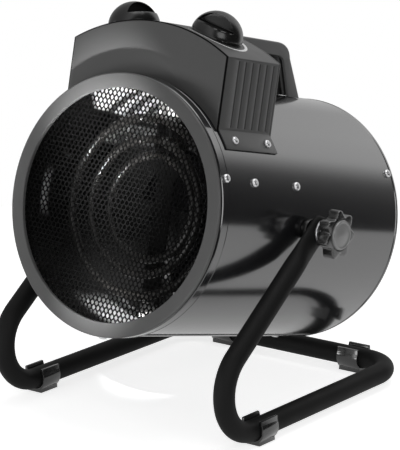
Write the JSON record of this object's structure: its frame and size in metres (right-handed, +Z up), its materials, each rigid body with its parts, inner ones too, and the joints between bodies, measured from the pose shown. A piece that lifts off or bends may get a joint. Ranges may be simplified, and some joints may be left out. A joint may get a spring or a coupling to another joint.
{
  "type": "forced air heater",
  "caption": "Round electric fan heater: a drum with guarded ends, a two-knob control box and a carrying handle, tilting in a bent-tube floor stand.",
  "frame": {"origin": "centre of the heater's bounding box, on the floor under its feet", "axes": "+Z up, -Y the way the warm air leaves, +X the side with the thermostat knob, along the tilt axis"},
  "size_m": [0.2928, 0.3148, 0.3474],
  "materials": {
    "gloss_black_drum": "gloss black stoved enamel",
    "satin_grey_bezel": "satin dark grey enamel",
    "satin_grey_box": "satin dark grey enamel, fine texture",
    "satin_black_stand": "satin black powder coat",
    "black_guard": "black enamel on wire net",
    "black_moulding": "moulded black plastic",
    "charcoal_handle": "moulded charcoal plastic",
    "foot_plastic": "tough dark plastic",
    "bright_zinc": "bright zinc plate",
    "bright_liner": "aluminised sheet steel",
    "heating_sheath": "heat-darkened steel",
    "motor_steel": "black lacquered steel can",
    "fan_aluminium": "black lacquered pressed aluminium",
    "pale_ceramic": "unglazed ceramic and pale moulding"
  },
  "bodies": {
    "stand": {"stand_tube": "satin_black_stand", "foot_clip_front_left": "foot_plastic", "foot_clip_front_right": "foot_plastic", "foot_clip_rear_left": "foot_plastic", "foot_clip_rear_right": "foot_plastic"},
    "heater": {"drum_shell": "gloss_black_drum", "front_bezel": "satin_grey_bezel", "front_guard": "black_guard", "rear_guard": "black_guard", "control_box_cover": "satin_grey_box", "control_box_front": "satin_grey_box", "control_box_rear": "satin_grey_box", "cable_gland": "black_moulding", "carry_handle": "charcoal_handle", "inner_shield": "bright_liner", "element_outer": "heating_sheath", "element_middle": "heating_sheath", "element_inner": "heating_sheath", "element_bracket": "heating_sheath", "thermal_cutout": "pale_ceramic", "motor": "motor_steel", "motor_bracket": "bright_zinc", "power_switch": "pale_ceramic", "thermostat": "pale_ceramic", "terminal_block": "pale_ceramic", "shield_spacer_left_front": "bright_zinc", "shield_spacer_left_rear": "bright_zinc", "shield_spacer_right_front": "bright_zinc", "shield_spacer_right_rear": "bright_zinc", "bezel_screw_right": "bright_zinc", "bezel_screw_left": "bright_zinc", "bezel_screw_bottom": "bright_zinc", "flange_screw_left_front": "bright_zinc", "flange_screw_left_rear": "bright_zinc", "shield_screw_left_front": "bright_zinc", "shield_screw_left_rear": "bright_zinc", "flange_screw_right_front": "bright_zinc", "flange_screw_right_rear": "bright_zinc", "shield_screw_right_front": "bright_zinc", "shield_screw_right_rear": "bright_zinc", "rear_screw_left": "bright_zinc", "rear_screw_right": "bright_zinc", "rear_screw_bottom": "bright_zinc", "pivot_stud_left": "bright_zinc", "pivot_stud_right": "bright_zinc", "pivot_bush_left": "black_moulding", "pivot_bush_right": "black_moulding", "knob_washer_left": "bright_zinc", "knob_washer_right": "bright_zinc"},
    "fan": {"fan_rotor": "fan_aluminium", "fan_nut": "bright_zinc"},
    "power_dial": {"power_knob": "black_moulding"},
    "thermostat_dial": {"thermostat_knob": "black_moulding"},
    "clamp_left": {"star_knob_left": "black_moulding"},
    "clamp_right": {"star_knob_right": "black_moulding"}
  },
  "joints": [
    {"name": "heater_tilt", "type": "hinge", "parent": "stand", "child": "heater", "pos_m": [0, -0.00763, 0.163], "axis": [1, 0, 0], "range_deg": [-9, 40]},
    {"name": "fan_spin", "type": "hinge", "parent": "heater", "child": "fan", "pos_m": [0, 0.03123, 0.15353], "axis": [0, 0.9715, -0.2368], "continuous": true},
    {"name": "power_dial_turn", "type": "hinge", "parent": "heater", "child": "power_dial", "pos_m": [-0.044, -0.04525, 0.32616], "axis": [0.2716, -0.2279, -0.935], "range_deg": [0, 135]},
    {"name": "thermostat_dial_turn", "type": "hinge", "parent": "heater", "child": "thermostat_dial", "pos_m": [0.044, -0.04525, 0.32616], "axis": [-0.2716, -0.2279, -0.935], "range_deg": [-135, 135]},
    {"name": "clamp_left_turn", "type": "hinge", "parent": "heater", "child": "clamp_left", "pos_m": [-0.138, -0.00763, 0.163], "axis": [-1, 0, 0], "range_deg": [0, 360]},
    {"name": "clamp_right_turn", "type": "hinge", "parent": "heater", "child": "clamp_right", "pos_m": [0.138, -0.00763, 0.163], "axis": [1, 0, 0], "range_deg": [0, 360]}
  ]
}
